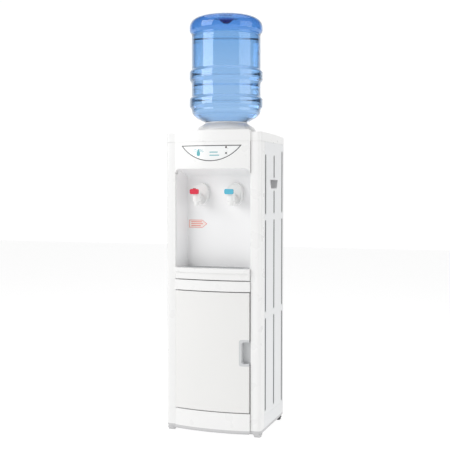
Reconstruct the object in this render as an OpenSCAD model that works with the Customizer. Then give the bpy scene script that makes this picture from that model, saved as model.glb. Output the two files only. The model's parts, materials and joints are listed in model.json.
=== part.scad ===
// Floor-standing water dispenser: an inverted bottle on a funnel seat, hot and cold lever taps
// over a pull-out drip tray, and a storage cupboard behind a bowed door.
// X runs across the front, -Y faces the user, Z is up. The origin is on the floor, mid-width.

/* [Body] */
// Overall width across the side panels
body_w = 330; // [300:1:400]
// Overall depth from the drip tray's nose to the rear fittings
body_d = 300; // [280:1:380]
// Height from the floor to the top of the front brow
body_h = 998; // [880:1:1200]
// Width of each front pillar
pillar_w = 35; // [28:1:45]
// Radius of the pillars' outer front corners
corner_r = 13; // [6:1:18]
// Forward bow of the door, rails and fascia
bow = 14; // [8:1:18]
// How far the front panels stand proud of the pillars
face_proud = 6; // [4:1:10]
// Wall of the moulded panels
wall = 3; // [2.5:0.1:3.5]
// Thickness of the sheet-metal rear panel
sheet = 1.5; // [1:0.1:2]
// Shut line round the door, the drip tray and the rails
gap = 3; // [2:0.5:4]

/* [Levels] */
// Height of the feet
foot_h = 10; // [6:1:20]
// Height of the base tray
base_h = 12; // [10:1:20]
// Height of the kick panel under the door
kick_h = 56; // [40:1:80]
// Height of the fixed rail between the door and the drip tray
rail_h = 33.5; // [28:0.5:50]
// Height of the drip tray's front
tray_h = 37.5; // [30:0.5:50]
// Height of the dispensing alcove's mouth
alcove_h = 324.5; // [290:0.5:380]
// Height of the fascia over the alcove
fascia_h = 88; // [80:0.5:120]
// Height of the top cover's front
cover_h = 36.5; // [30:0.5:50]

/* [Alcove and taps] */
// Depth of the alcove behind the pillars' front
alcove_d = 60; // [50:1:75]
// Inward draft of each alcove side wall
alcove_draft = 17; // [12:1:20]
// Distance between the two taps
tap_pitch = 120; // [110:1:130]
// Height of the tap axis below the alcove's mouth
tap_drop = 82.5; // [72:0.5:90]
// Radius of the escutcheon's face ends
pod_r = 26.5; // [25:0.5:31]
// Half the escutcheon's extra height
pod_rise = 10; // [6:1:14]
// Height of the escutcheon off the back wall
pod_h = 18; // [12:1:20]
// How far the tap stands out of the escutcheon
tap_reach = 43; // [42:1:50]
// Radius of the tap's valve chamber
chamber_r = 13; // [12:0.5:15]
// Radius of the spout
spout_r = 8; // [7:0.5:9]
// Distance from the valve stem to the lever's pivot
lever_throw = 8; // [7:0.5:9]

/* [Door] */
// Width of the finger pull's frame
pull_w = 32; // [28:1:45]
// Height of the finger pull's frame
pull_h = 87; // [70:1:100]
// Height of the pull's middle below the door's top
pull_drop = 195.5; // [120:0.5:240]
// Radius of the door's hinge pins
hinge_pin_r = 2.5; // [2:0.1:3]

/* [Bottle] */
// Radius of the bottle's hoops
bottle_r = 123.5; // [110:0.5:135]
// Height of the bottle above its seat
bottle_h = 356; // [320:0.5:420]
// Wall of the bottle
bottle_wall = 2; // [1.5:0.1:3]
// Outer radius of the bottle's neck
neck_r = 27.5; // [25:0.5:29]
// Radius of the bottle seat's skirt
seat_r = 101; // [98:0.5:108]
// Height of the bottle seat above the top cover
seat_h = 41; // [32:1:50]

/* [Works] */
// Radius of the cold tank
cold_r = 60; // [50:1:66]
// Thickness of the foam round the cold tank
foam = 18; // [12:1:20]
// Height of the cold tank
cold_h = 160; // [120:1:180]
// Radius of the hot tank
hot_r = 50; // [40:1:60]
// Height of the hot tank
hot_h = 130; // [100:1:150]
// Side of the cooling fan's frame
fan_size = 80; // [60:1:92]
// Depth of the fan
fan_d = 15; // [10:1:20]
// Bore of the water tubes
tube_r = 5; // [4:0.5:6]

/* [Hidden] */
$fn = 96;

eps = 0.01;
far = 1000;
fit = 0.3;
slip = 0.8;
tray_proud = 8;
rear_trim = 2;

// Plan positions
half_w = body_w / 2;
face_half = half_w - pillar_w;
y_front = -body_d / 2;
y_back = body_d / 2 - rear_trim;
y_nose = y_front + tray_proud;
y_edge = y_nose + bow;
y_pillar = y_edge + face_proud;
y_alcove = y_pillar + alcove_d;
y_lip = y_pillar + 4;
y_face_back = y_pillar + 12;
y_seat = 13;
y_cold = y_alcove + wall + fit + foam + cold_r + 4;
y_hot = y_cold;

// Levels, from the floor up
z_base = foot_h;
z_body = z_base + base_h;
z_kick = z_body + kick_h;
z_cover = body_h - cover_h;
z_fascia = z_cover - fascia_h;
z_tray_top = z_fascia - alcove_h;
z_tray = z_tray_top - tray_h;
z_rail_top = z_tray - gap;
z_rail = z_rail_top - rail_h;
z_door_top = z_rail - gap;
z_door = z_kick + gap;
brow_h = 6;
z_deck = body_h - brow_h;
z_tap = z_fascia - tap_drop;
z_seat = z_deck + seat_h;
z_works = z_rail + wall;

// Radius of an arc from its half chord and its rise
function arc_r(half, rise) = (half * half + rise * rise) / (2 * rise);
face_r = arc_r(face_half, bow);
y_face_centre = y_edge - bow + face_r;
// Front surface of the bowed face at a given X
function face_y(x) = y_face_centre - sqrt(face_r * face_r - x * x);

// A round bar along Y from y0 to y1
module bar_y(x, z, r, y0, y1) {
    translate([x, y1, z]) rotate([90, 0, 0]) cylinder(r = r, h = y1 - y0);
}

// A round bar along X from x0 to x1
module bar_x(y, z, r, x0, x1) {
    translate([x0, y, z]) rotate([0, 90, 0]) cylinder(r = r, h = x1 - x0);
}

// A box given by its two corners
module block(lo, hi) {
    translate(lo) cube([hi[0] - lo[0], hi[1] - lo[1], hi[2] - lo[2]]);
}

// A rectangle with rounded corners, centred
module round_rect(w, h, r) {
    square([w - 2 * r, h], center = true);
    square([w, h - 2 * r], center = true);
    for (sx = [-1, 1], sy = [-1, 1])
        translate([sx * (w / 2 - r), sy * (h / 2 - r)]) circle(r = r);
}

// A slot with round ends, along the sheet's second axis
module slot(w, h) {
    square([w, h - w], center = true);
    for (s = [-1, 1]) translate([0, s * (h - w) / 2]) circle(r = w / 2);
}

// Extrudes a shape drawn in X and Z through the depth from y0 to y1
module through_y(y0, y1) {
    translate([0, y1, 0]) rotate([90, 0, 0]) linear_extrude(y1 - y0) children();
}

// Extrudes a shape drawn in Y and Z across the width from x0 to x1
module through_x(x0, x1) {
    translate([x0, 0, 0]) rotate([90, 0, 90]) linear_extrude(x1 - x0) children();
}

// Plan of a bowed front, inset by t from its front and by s from its sides
module bow_plan(half, y_rear, t = 0, s = 0, proud = 0) {
    intersection() {
        translate([0, y_face_centre - proud]) circle(r = face_r - t, $fn = 360);
        translate([-(half - s), y_front - 1]) square([2 * (half - s), y_rear - y_front + 1]);
    }
}

// A bowed panel open at the back, with flanges of one wall all round
module bow_tray(half, y_rear, z0, z1) {
    difference() {
        translate([0, 0, z0]) linear_extrude(z1 - z0) bow_plan(half, y_rear);
        translate([0, 0, z0 + wall])
            linear_extrude(z1 - z0 - 2 * wall) bow_plan(half, y_rear + 1, wall, wall);
    }
}

// Plan of the body behind its bowed front, with rounded front corners
module body_plan(inset = 0) {
    w = half_w - inset;
    y0 = y_pillar + inset;
    r = corner_r - inset;
    translate([-w, y0 + r]) square([2 * w, y_back - inset - y0 - r]);
    translate([-w + r, y0]) square([2 * (w - r), r + 1]);
    for (s = [-1, 1]) translate([s * (w - r), y0 + r]) circle(r = r);
}

// Feet and base
foot_size = 26;
foot_inset = 1.5;
module feet(y) {
    for (s = [-1, 1])
        translate([s * (half_w - foot_inset - foot_size / 2), y, 0]) {
            linear_extrude(foot_h - 4) round_rect(foot_size - 4, foot_size - 4, 5);
            translate([0, 0, foot_h - 4]) linear_extrude(4) round_rect(foot_size, foot_size, 5);
        }
}

module front_feet() { color("whitesmoke") feet(y_pillar + 18); }

module rear_feet() { color("dimgray") feet(y_back - 22); }

base_floor = 3;
base_step = 7;
module base_tray() {
    color("gainsboro") difference() {
        union() {
            translate([0, 0, z_base]) linear_extrude(base_h - base_step) {
                body_plan(3.5);
                bow_plan(face_half - 3, y_pillar + corner_r + 1, 3);
            }
            translate([0, 0, z_body - base_step]) linear_extrude(base_step) {
                body_plan(0.5);
                bow_plan(face_half, y_pillar + corner_r + 1);
            }
        }
        translate([0, 0, z_base + base_floor])
            linear_extrude(base_h) {
                body_plan(8);
                bow_plan(face_half - 8, y_pillar + corner_r + 9, 5);
            }
    }
}

// Front pillars: a rounded post with an outer side, a front and an inner return
pillar_back = y_pillar + 44;
jamb_back = y_pillar + 26;
inner_chamfer = 2;
module pillar_plan() {
    intersection() {
        difference() {
            body_plan();
            difference() {
                body_plan(wall);
                translate([0, y_front]) square([face_half + wall, body_d]);
            }
        }
        translate([face_half, y_front]) square([pillar_w, pillar_back - y_front]);
    }
}
module pillar() {
    difference() {
        translate([0, 0, z_body]) linear_extrude(z_cover - z_body - fit) pillar_plan();
        block([face_half - 1, jamb_back, 0], [half_w - wall, y_back, z_cover + 1]);
        linear_extrude(z_cover) polygon([[face_half - 1, y_pillar - 1],
            [face_half + inner_chamfer + 1, y_pillar - 1], [face_half - 1, y_pillar + inner_chamfer + 1]]);
    }
}

module right_front_pillar() { color("white") pillar(); }

module left_front_pillar() { color("white") mirror([1, 0, 0]) pillar(); }

// Side panels: three sunk vertical grooves, cut by two flat belts, and a carry recess
groove_w = 13;
groove_depth = 2;
belt_h = 19;
panel_front = pillar_back + fit;
groove_y = [panel_front + 10, panel_front + 108, y_back - 20];
groove_top = [z_cover - 40.5, z_cover - 40.5, z_cover - 23.5];
groove_foot = [z_kick, z_kick, z_kick - 12];
belt_z = [z_kick + 316.5, z_kick + 638];
skirt_z = z_body + 40;
handle_top = z_fascia - 34;
handle_h = 32;
handle_top_w = 95;
handle_foot_w = 72;
handle_y = groove_y[1] - 1.5;
handle_rim = 4.5;
function groove_cuts(g) = concat(
    [groove_foot[g], belt_z[0] - belt_h / 2, belt_z[0] + belt_h / 2],
    [belt_z[1] - belt_h / 2, belt_z[1] + belt_h / 2],
    g == 1 ? [handle_top - handle_h - handle_rim, handle_top + handle_rim] : [],
    [groove_top[g]]);
module handle_shape(inset) {
    t = handle_top_w / 2 - inset;
    f = handle_foot_w / 2 - inset;
    r = 5;
    translate([handle_y, handle_top - inset])
        polygon([[-t, 0], [t, 0], [f + 1, r - handle_h + 2 * inset], [f - r, 2 * inset - handle_h],
                 [r - f, 2 * inset - handle_h], [-f - 1, r - handle_h + 2 * inset]]);
}
module side_panel() {
    difference() {
        block([half_w - wall, panel_front, z_body], [half_w, y_back, z_cover - fit]);
        through_x(half_w - groove_depth, half_w + 1)
            for (g = [0:2]) {
                cuts = groove_cuts(g);
                for (i = [0:2:len(cuts) - 2])
                    translate([groove_y[g], (cuts[i] + cuts[i + 1]) / 2])
                        slot(groove_w, cuts[i + 1] - cuts[i]);
            }
        for (z = concat([skirt_z], belt_z - [belt_h, belt_h] / 2, belt_z + [belt_h, belt_h] / 2))
            block([half_w - 0.5, panel_front - 1, z - 0.8], [half_w + 1, y_back + 1, z + 0.8]);
        through_x(half_w - wall - 1, half_w + 1) handle_shape(0);
    }
}

module right_side_panel() { color("whitesmoke") side_panel(); }

module left_side_panel() { color("whitesmoke") mirror([1, 0, 0]) side_panel(); }

handle_depth = 26;
cup_wall = 2;
module handle_cup() {
    difference() {
        through_x(half_w - handle_depth, half_w) handle_shape(eps);
        through_x(half_w - handle_depth + cup_wall, half_w + 1) handle_shape(cup_wall);
    }
}

module right_handle_cup() { color("gray") handle_cup(); }

module left_handle_cup() { color("gray") mirror([1, 0, 0]) handle_cup(); }

// Rear panel with louvres over the fan and at the foot
rear_half = half_w - wall - fit;
y_rear_panel = y_back - sheet - 1;
fan_z = z_fascia - 25;
louvre_w = 70;
louvre_h = 4;
drain_x = 60;
drain_z = z_works + 45;
drain_r = 9;
switch_x = -95;
switch_z = z_fascia - 10;
switch_pitch = 34;
switch_w = 20;
switch_hh = 28;
gland_x = -120;
gland_z = z_body + 48;
gland_r = 8;
screw_r = 3.5;
function screw_spots() = [for (s = [-1, 1], i = [0:3])
    [s * (rear_half - 10), z_body + 20 + i * (z_cover - z_body - 40) / 3]];
module louvres(z, count) {
    for (i = [0:count - 1], s = [-1, 1])
        translate([s * (louvre_w / 2 + 6), z + (i - (count - 1) / 2) * 3 * louvre_h])
            rotate(90) slot(louvre_h, louvre_w);
}
module rear_panel() {
    color("lightgray") through_y(y_rear_panel, y_rear_panel + sheet) difference() {
        translate([-rear_half, z_body]) square([2 * rear_half, z_cover - z_body - fit]);
        louvres(fan_z, 8);
        louvres(z_body + 90, 5);
        translate([drain_x, drain_z]) circle(r = drain_r + fit);
        translate([gland_x, gland_z]) circle(r = gland_r);
        for (s = [-1, 1])
            translate([switch_x, switch_z + s * switch_pitch / 2])
                square([switch_w, switch_hh], center = true);
        for (p = screw_spots()) translate(p) circle(r = screw_r / 2);
    }
}

module rear_screws() {
    color("silver") for (p = screw_spots()) {
        bar_y(p[0], p[1], screw_r, y_rear_panel + sheet, y_rear_panel + sheet + 2);
        bar_y(p[0], p[1], screw_r / 2, y_rear_panel - 8, y_rear_panel + sheet);
    }
}

// Top cover: a lid with a gently crowned deck, a raised brow and a flat boss for the seat
crown_drop = 5;
crown_sink = 1;
crown_y = y_pillar + 30;
crown_steps = 16;
function crown_point(t) =
    [crown_y + t * (y_back + 1 - crown_y), z_deck - crown_sink - crown_drop * t * t];
brow_back = y_pillar + 12;
brow_corner = 7;
boss_r = seat_r + 2;
seat_hole_r = seat_r - 5;
module brow_shape() {
    w = face_half - brow_corner;
    translate([-face_half, z_cover]) square([2 * face_half, cover_h - brow_corner]);
    translate([-w, z_cover]) square([2 * w, cover_h]);
    for (s = [-1, 1]) translate([s * w, body_h - brow_corner]) circle(r = brow_corner);
}
module cover_side() {
    polygon(concat([[y_back + 1, z_cover - 1], [y_front, z_cover - 1], [y_front, z_deck - crown_sink]],
                   [for (i = [0:crown_steps]) crown_point(i / crown_steps)]));
}
module top_cover() {
    color("white") difference() {
        union() {
            intersection() {
                translate([0, 0, z_cover]) linear_extrude(cover_h) body_plan();
                through_x(-half_w, half_w) cover_side();
            }
            intersection() {
                translate([0, 0, z_cover]) linear_extrude(cover_h) bow_plan(face_half + 1, brow_back);
                through_y(y_front, brow_back) brow_shape();
            }
            translate([0, y_seat, z_cover + wall])
                cylinder(r = boss_r, h = z_deck - z_cover - wall);
        }
        difference() {
            translate([0, 0, z_cover - 1])
                linear_extrude(z_deck - crown_drop - crown_sink - wall - z_cover + 1) {
                    body_plan(wall);
                    bow_plan(face_half - wall, brow_back, wall);
                }
            translate([0, y_seat, z_cover + wall]) cylinder(r = boss_r, h = cover_h);
        }
        translate([0, y_seat, z_cover]) cylinder(r = seat_hole_r, h = cover_h);
    }
}

// Fascia with round-cornered alcove mouth and a crescent window
mouth_r = 16;
window_half = 104;
window_h = 51.5;
window_top = z_cover - 12.5;
window_rim = 2.5;
window_r = arc_r(window_half, window_h);
light_x = 53;
light_r = 3;
light_drop = [7, 26];
module crescent(inset) {
    intersection() {
        translate([0, window_top - window_h + window_r]) circle(r = window_r - inset, $fn = 180);
        translate([-window_half, window_top - window_h])
            square([2 * window_half, window_h - inset]);
    }
}
module fascia_shape() {
    w = face_half - fit;
    translate([-w, z_fascia]) square([2 * w, fascia_h - fit]);
    for (s = [-1, 1]) difference() {
        translate([s * (w - mouth_r / 2), z_fascia - mouth_r / 2])
            square([mouth_r, mouth_r], center = true);
        translate([s * (w - mouth_r), z_fascia - mouth_r]) circle(r = mouth_r);
    }
}
module upper_fascia() {
    color("white") difference() {
        intersection() {
            translate([0, 0, z_fascia - mouth_r]) linear_extrude(fascia_h + mouth_r)
                bow_plan(face_half - fit, y_face_back);
            through_y(y_front, y_face_back + 1) fascia_shape();
        }
        translate([0, 0, z_fascia + wall]) linear_extrude(fascia_h - 2 * wall)
            bow_plan(face_half - fit, y_face_back + 1, wall, wall);
        through_y(y_front, y_face_back) crescent(0);
    }
}

// A sheet that follows the bowed face, from t0 to t1 behind it
module face_sheet(t0, t1, z0, z1) {
    translate([0, 0, z0]) linear_extrude(z1 - z0) difference() {
        bow_plan(face_half, y_face_back, t0);
        bow_plan(face_half, y_face_back + 1, t1);
    }
}

module window_frame() {
    color("dimgray") intersection() {
        face_sheet(0, wall, z_fascia, z_cover);
        through_y(y_front, y_face_back) difference() {
            crescent(eps);
            crescent(window_rim);
        }
    }
}

module indicator_window() {
    color("white") difference() {
        intersection() {
            face_sheet(0.6, 2.6, z_fascia, z_cover);
            through_y(y_front, y_face_back) crescent(window_rim + eps);
        }
        for (d = light_drop) bar_y(light_x, window_top - d, light_r, y_front, y_face_back);
    }
}

// An indicator light behind the window
module light(drop) {
    y = face_y(light_x);
    bar_y(light_x, window_top - drop, light_r - eps, y + 0.8, y + 9);
    intersection() {
        translate([light_x, y + 2.2, window_top - drop]) sphere(r = light_r - eps);
        block([0, y_front, z_fascia], [half_w, y + 1.2, body_h]);
    }
}

module heating_light() { color("darkred") light(light_drop[0]); }

module cooling_light() { color("darkgreen") light(light_drop[1]); }

// Dispensing alcove: a drafted moulding with a sloping ceiling and a floor under the tray
alcove_wall = 2.4;
lip_t = 1;
alcove_mouth = face_half - fit - lip_t;
ceiling_drop = 17;
ceiling_r = 14;
z_shelf = z_tray - fit - alcove_wall;
shank_r = 8;
barrel_drop = 12;
module alcove_plan(inset) {
    x0 = alcove_mouth - inset;
    x1 = alcove_mouth - alcove_draft - inset;
    polygon([[-x0, y_lip - 2], [x0, y_lip - 2], [x1, y_alcove - inset], [-x1, y_alcove - inset]]);
}
// Ceiling line: level over the lip, then a slope that rounds into the back wall
function ceiling(grow) = concat(
    [[y_lip, z_fascia + grow], [y_face_back + fit, z_fascia + grow]],
    [for (a = [75:-15:0]) [y_alcove + grow - ceiling_r * (1 - cos(a)),
                           z_fascia + grow - ceiling_drop - ceiling_r * (1 - sin(a))]]);
module alcove_side(grow) {
    z0 = z_shelf + alcove_wall - grow;
    polygon(concat([[y_alcove + grow, z0], [y_lip, z0]], ceiling(grow)));
}
module alcove_liner() {
    color("gainsboro") difference() {
        intersection() {
            translate([0, 0, z_shelf]) linear_extrude(z_cover - z_shelf) alcove_plan(-alcove_wall);
            through_x(fit - face_half, face_half - fit) alcove_side(alcove_wall);
        }
        intersection() {
            translate([0, 0, z_shelf + alcove_wall]) linear_extrude(z_cover - z_shelf)
                alcove_plan(0);
            through_x(-half_w, half_w) union() {
                alcove_side(0);
                translate([y_front, z_shelf + alcove_wall])
                    square([y_lip - y_front + eps, z_fascia - z_shelf - alcove_wall]);
            }
        }
        block([-half_w, y_front, z_shelf - 1], [half_w, y_face_back + fit, z_rail_top + fit]);
        block([-half_w, y_front, z_fascia - mouth_r - fit], [half_w, y_face_back + fit, z_cover]);
        for (s = [-1, 1])
            bar_y(s * tap_pitch / 2, z_tap - barrel_drop, shank_r + fit, y_alcove - 1, y_back);
    }
}

// Escutcheon: an oval pod with drafted sides and a thin ring line round its face
pod_flare = 1.5;
y_pod = y_alcove - pod_h;
module oval_cone(r0, r1, y0, y1) {
    for (s = [-1, 1])
        translate([0, y1, s * pod_rise]) rotate([90, 0, 0])
            cylinder(r1 = r1, r2 = r0, h = y1 - y0);
    translate([0, 0, -pod_rise]) linear_extrude(2 * pod_rise)
        polygon([[-r0, y0], [r0, y0], [r1, y1], [-r1, y1]]);
}
module escutcheon() {
    translate([0, 0, z_tap]) difference() {
        oval_cone(pod_r, pod_r + pod_flare, y_pod, y_alcove);
        oval_cone(pod_r - 3, pod_r - 1, y_pod + 3, y_alcove + eps);
        difference() {
            oval_cone(pod_r - 4, pod_r - 4, y_pod - 1, y_pod + 0.6);
            oval_cone(pod_r - 5, pod_r - 5, y_pod - 2, y_pod + 1);
        }
        bar_y(0, -barrel_drop, shank_r + fit, y_pod - 1, y_alcove);
    }
}

module hot_escutcheon() { color("white") translate([-tap_pitch / 2, 0, 0]) escutcheon(); }

module cold_escutcheon() { color("white") translate([tap_pitch / 2, 0, 0]) escutcheon(); }

// Tap: shank and barrel, an upright valve chamber, a spout and two ears for the lever
y_chamber = y_pod - tap_reach + chamber_r;
barrel_r = 11;
z_barrel = z_tap - barrel_drop;
chamber_h = 26;
z_chamber = z_barrel - 12;
z_chamber_top = z_chamber + chamber_h;
spout_h = 11;
chamber_wall = 2.5;
stem_r = 2;
y_pivot = y_chamber - lever_throw;
z_pivot = z_chamber_top + 5;
ear_t = 2.5;
ear_x = 8;
lever_pin_r = 1.5;
module tap_body() {
    difference() {
        union() {
            bar_y(0, z_barrel, shank_r, y_pod, y_alcove + 26);
            bar_y(0, z_barrel, barrel_r, y_chamber, y_pod);
            bar_y(0, z_barrel, barrel_r + 3, y_pod - 4, y_pod);
            translate([0, y_chamber, z_chamber]) cylinder(r = chamber_r, h = chamber_h);
            translate([0, y_chamber, z_chamber - 3])
                cylinder(r1 = spout_r, r2 = chamber_r, h = 3);
            translate([0, y_chamber, z_chamber - spout_h - 3])
                cylinder(r = spout_r, h = spout_h + 3);
            for (s = [-1, 1]) {
                block([s * ear_x - ear_t / 2, y_pivot - 4, z_chamber_top - 8],
                      [s * ear_x + ear_t / 2, y_chamber, z_pivot]);
                bar_x(y_pivot, z_pivot, 4, s * ear_x - ear_t / 2, s * ear_x + ear_t / 2);
            }
        }
        translate([0, y_chamber, z_chamber]) cylinder(r = chamber_r - chamber_wall,
            h = chamber_h - chamber_wall);
        translate([0, y_chamber, z_chamber - 20]) cylinder(r = spout_r - 2.5, h = 30);
        translate([0, y_chamber, z_chamber]) cylinder(r = stem_r + fit, h = chamber_h + 1);
        bar_y(0, z_barrel, shank_r - 2.5, y_chamber, y_back);
        bar_x(y_pivot, z_pivot, lever_pin_r + 0.05, -far, far);
    }
}

module hot_tap_body() { color("white") translate([-tap_pitch / 2, 0, 0]) tap_body(); }

module cold_tap_body() { color("white") translate([tap_pitch / 2, 0, 0]) tap_body(); }

nut_r = 14;
module tap_nuts() {
    color("silver") for (s = [-1, 1]) difference() {
        translate([s * tap_pitch / 2, y_alcove + alcove_wall + 6, z_barrel]) rotate([90, 0, 0])
            cylinder(r = nut_r, h = 6, $fn = 6);
        bar_y(s * tap_pitch / 2, z_barrel, shank_r, y_alcove, y_back);
    }
}

// Lever: a coloured paddle in front, a tongue between the ears and a fork under the stem head
paddle_w = 30;
paddle_h = 17;
paddle_t = 7;
paddle_gap = 5;
y_paddle = y_pivot - 4 - paddle_gap;
tongue_half = ear_x - ear_t / 2 - fit;
stem_top = z_pivot + 3.5;
module lever() {
    difference() {
        union() {
            translate([0, y_paddle, z_pivot + 1]) rotate([90, 0, 0]) linear_extrude(paddle_t)
                round_rect(paddle_w, paddle_h, 5);
            block([-tongue_half, y_paddle - 1, z_pivot - 2.5],
                  [tongue_half, y_chamber + 5, z_pivot + 2.5]);
            bar_x(y_pivot, z_pivot, 3.6, -tongue_half, tongue_half);
            bar_x(y_pivot, z_pivot, lever_pin_r, -ear_x - ear_t / 2, ear_x + ear_t / 2);
        }
        block([-stem_r - 0.8, y_chamber - stem_r - 0.8, z_pivot - 6],
              [stem_r + 0.8, y_chamber + 6, z_pivot + 6]);
    }
}

module cold_lever() { color("deepskyblue") translate([tap_pitch / 2, 0, 0]) lever(); }

// The hot lever also has a pocket in its top for the safety catch
catch_w = 9;
catch_h = 5;
catch_travel = 3;
catch_z = z_pivot + 5.2;
module catch_shape(grow, deeper = 0) {
    block([-catch_w / 2 - grow, y_paddle - paddle_t + 1.5 - grow, catch_z - grow - deeper],
          [catch_w / 2 + grow, y_paddle - 1.5 + grow, catch_z + catch_h + 2]);
}
module hot_lever() {
    color("crimson") translate([-tap_pitch / 2, 0, 0]) difference() {
        lever();
        catch_shape(fit, catch_travel);
    }
}

module safety_catch() { color("firebrick") translate([-tap_pitch / 2, 0, 0]) catch_shape(0); }

// Valve stem: a head held by the lever's fork, a rod and a sealing disc over the spout
module valve_stem() {
    seal_r = chamber_r - chamber_wall - 1.5;
    translate([0, y_chamber, z_chamber + 0.2]) cylinder(r = seal_r, h = 3);
    translate([0, y_chamber, z_chamber + 0.2]) cylinder(r = stem_r, h = stem_top - z_chamber);
    translate([0, y_chamber, stem_top]) cylinder(r = stem_r + 2.5, h = 2);
}

module hot_valve_stem() { color("gray") translate([-tap_pitch / 2, 0, 0]) valve_stem(); }

module cold_valve_stem() { color("gray") translate([tap_pitch / 2, 0, 0]) valve_stem(); }

// Drip tray: a drafted basin with a rolled nose, and a lift-out grille
nose_h = 14;
tray_wall = 3;
grille_t = 3;
y_tray_back = y_alcove - 2;
y_grille = y_nose + 22;
module tray_plan(inset) {
    alcove_plan(slip + inset);
}
module drip_tray() {
    color("white") difference() {
        union() {
            translate([0, 0, z_tray]) linear_extrude(tray_h) intersection() {
                tray_plan(0);
                translate([-half_w, y_lip - 1]) square([body_w, y_tray_back - y_lip + 1]);
            }
            translate([0, 0, z_tray]) linear_extrude(tray_h - nose_h)
                bow_plan(face_half - 1, y_lip - fit);
            translate([0, 0, z_tray_top - nose_h]) linear_extrude(nose_h)
                bow_plan(face_half - 1, y_lip - fit, 0, 0, tray_proud);
        }
        translate([0, 0, z_tray + tray_wall]) linear_extrude(tray_h) intersection() {
            tray_plan(tray_wall + 3);
            translate([-half_w, y_grille + 3]) square([body_w, y_tray_back - y_grille - 6]);
        }
        translate([0, 0, z_tray_top - grille_t - fit]) linear_extrude(tray_h) intersection() {
            tray_plan(tray_wall);
            translate([-half_w, y_grille]) square([body_w, y_tray_back - y_grille - 2]);
        }
    }
}

grille_slot = 5;
grille_bar = 4;
grille_rim = 7;
module drip_grille() {
    x1 = alcove_mouth - alcove_draft - tray_wall - slip;
    count = floor((2 * x1 - 2 * grille_rim) / (grille_slot + grille_bar));
    color("silver") difference() {
        translate([0, 0, z_tray_top - grille_t]) linear_extrude(grille_t) intersection() {
            tray_plan(tray_wall + fit);
            translate([-half_w, y_grille + fit])
                square([body_w, y_tray_back - y_grille - 2 - 2 * fit]);
        }
        translate([0, (y_grille + y_tray_back - 2) / 2, z_tray_top - grille_t - 1])
            linear_extrude(grille_t + 2) for (i = [0:count - 1])
                translate([(i - (count - 1) / 2) * (grille_slot + grille_bar), 0])
                    slot(grille_slot, y_tray_back - 2 - y_grille - 2 * grille_rim);
    }
}

// Hinge line of the door, in the fixed rail above and the kick panel below
hinge_x = -(face_half - 7);
hinge_y = y_edge + 3.5;
hinge_engage = 9;
boss = 4.6;

module hinge_boss(z0, z1) {
    translate([hinge_x, hinge_y, z0]) cylinder(r = boss, h = z1 - z0);
}

module mid_rail() {
    color("white") difference() {
        union() {
            bow_tray(face_half - fit, y_face_back, z_rail, z_rail_top);
            hinge_boss(z_rail, z_rail_top);
        }
        translate([hinge_x, hinge_y, z_rail - 1]) cylinder(r = hinge_pin_r + 0.1, h = hinge_engage + 2);
    }
}

module kick_panel() {
    color("whitesmoke") difference() {
        union() {
            bow_tray(face_half - fit, y_face_back, z_body, z_kick);
            hinge_boss(z_kick - 20, z_kick);
        }
        translate([hinge_x, hinge_y, z_kick - hinge_engage - 1])
            cylinder(r = hinge_pin_r + 0.1, h = hinge_engage + 2);
    }
}

module door_hinge_pins() {
    color("silver") {
        translate([hinge_x, hinge_y, z_door_top - 8])
            cylinder(r = hinge_pin_r, h = 8 + gap + hinge_engage);
        translate([hinge_x, hinge_y, z_kick - hinge_engage])
            cylinder(r = hinge_pin_r, h = 8 + gap + hinge_engage);
    }
}

// Door: a bowed shell, a flat inner lining and a finger pull in its free edge
door_half = face_half - 1;
y_door_back = y_pillar + 14;
lining_t = 3;
free_gap = 2.5;
door_right = face_half - free_gap;
pull_z = z_door_top - pull_drop;
pull_frame = 8;
pull_depth = 15;
pull_corner = 8;
module door_plan(y_rear, t = 0, s = 0) {
    intersection() {
        bow_plan(door_half, y_rear, t, s);
        translate([-half_w, y_front]) square([half_w + door_right - s, body_d]);
    }
}
module pull_shape(inset) {
    w = pull_w + 20 - 2 * inset;
    translate([door_right - pull_w / 2 + 10, pull_z]) round_rect(w, pull_h - 2 * inset, pull_corner);
}
module door_shell() {
    color("white") difference() {
        union() {
            difference() {
                translate([0, 0, z_door]) linear_extrude(z_door_top - z_door)
                    door_plan(y_door_back);
                translate([0, 0, z_door + wall]) linear_extrude(z_door_top - z_door - 2 * wall)
                    door_plan(y_door_back + 1, wall, wall);
            }
            hinge_boss(z_door, z_door + 14);
            hinge_boss(z_door_top - 14, z_door_top);
        }
        through_y(y_front, y_door_back + 1) pull_shape(0);
        for (z = [z_door - 1, z_door_top - 8])
            translate([hinge_x, hinge_y, z]) cylinder(r = hinge_pin_r, h = 9);
    }
}

module door_lining() {
    color("gainsboro") union() {
        block([-door_half, y_door_back, z_door],
              [door_right, y_door_back + lining_t, z_door_top]);
        translate([-door_half + 30, y_door_back - 8, z_door + 25])
            cube([door_right + door_half - 60, 8, 4]);
        translate([-door_half + 30, y_door_back - 8, z_door_top - 29])
            cube([door_right + door_half - 60, 8, 4]);
    }
}

module door_pull() {
    color("silver") difference() {
        intersection() {
            translate([0, 0, z_door]) linear_extrude(z_door_top - z_door)
                door_plan(y_door_back);
            through_y(y_front, y_door_back) pull_shape(eps);
        }
        through_y(y_front, face_y(face_half) + pull_depth) pull_shape(pull_frame);
        translate([0, face_y(door_right) + pull_depth, 0]) through_y(wall, far)
            pull_shape(wall);
    }
}

// Magnetic catch on the liner's free side
catch_block = [14, 12, 40];
module door_catch() {
    color("dimgray") translate([face_half - 4 - wall - catch_block[0], y_door_back + lining_t + fit,
        (z_door + z_door_top) / 2]) cube(catch_block);
}

// Cupboard liner, open to the front
liner_half = face_half - 4;
y_liner = y_door_back + lining_t + 1.5;
y_liner_back = y_back - 48;
liner_wall = 2.5;
module cabinet_liner() {
    color("whitesmoke") difference() {
        block([-liner_half, y_liner, z_body + fit], [liner_half, y_liner_back, z_door_top + 1]);
        block([-liner_half + liner_wall, y_liner - 1, z_body + fit + liner_wall],
              [liner_half - liner_wall, y_liner_back - liner_wall, z_door_top + 1 - liner_wall]);
    }
}

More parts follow.
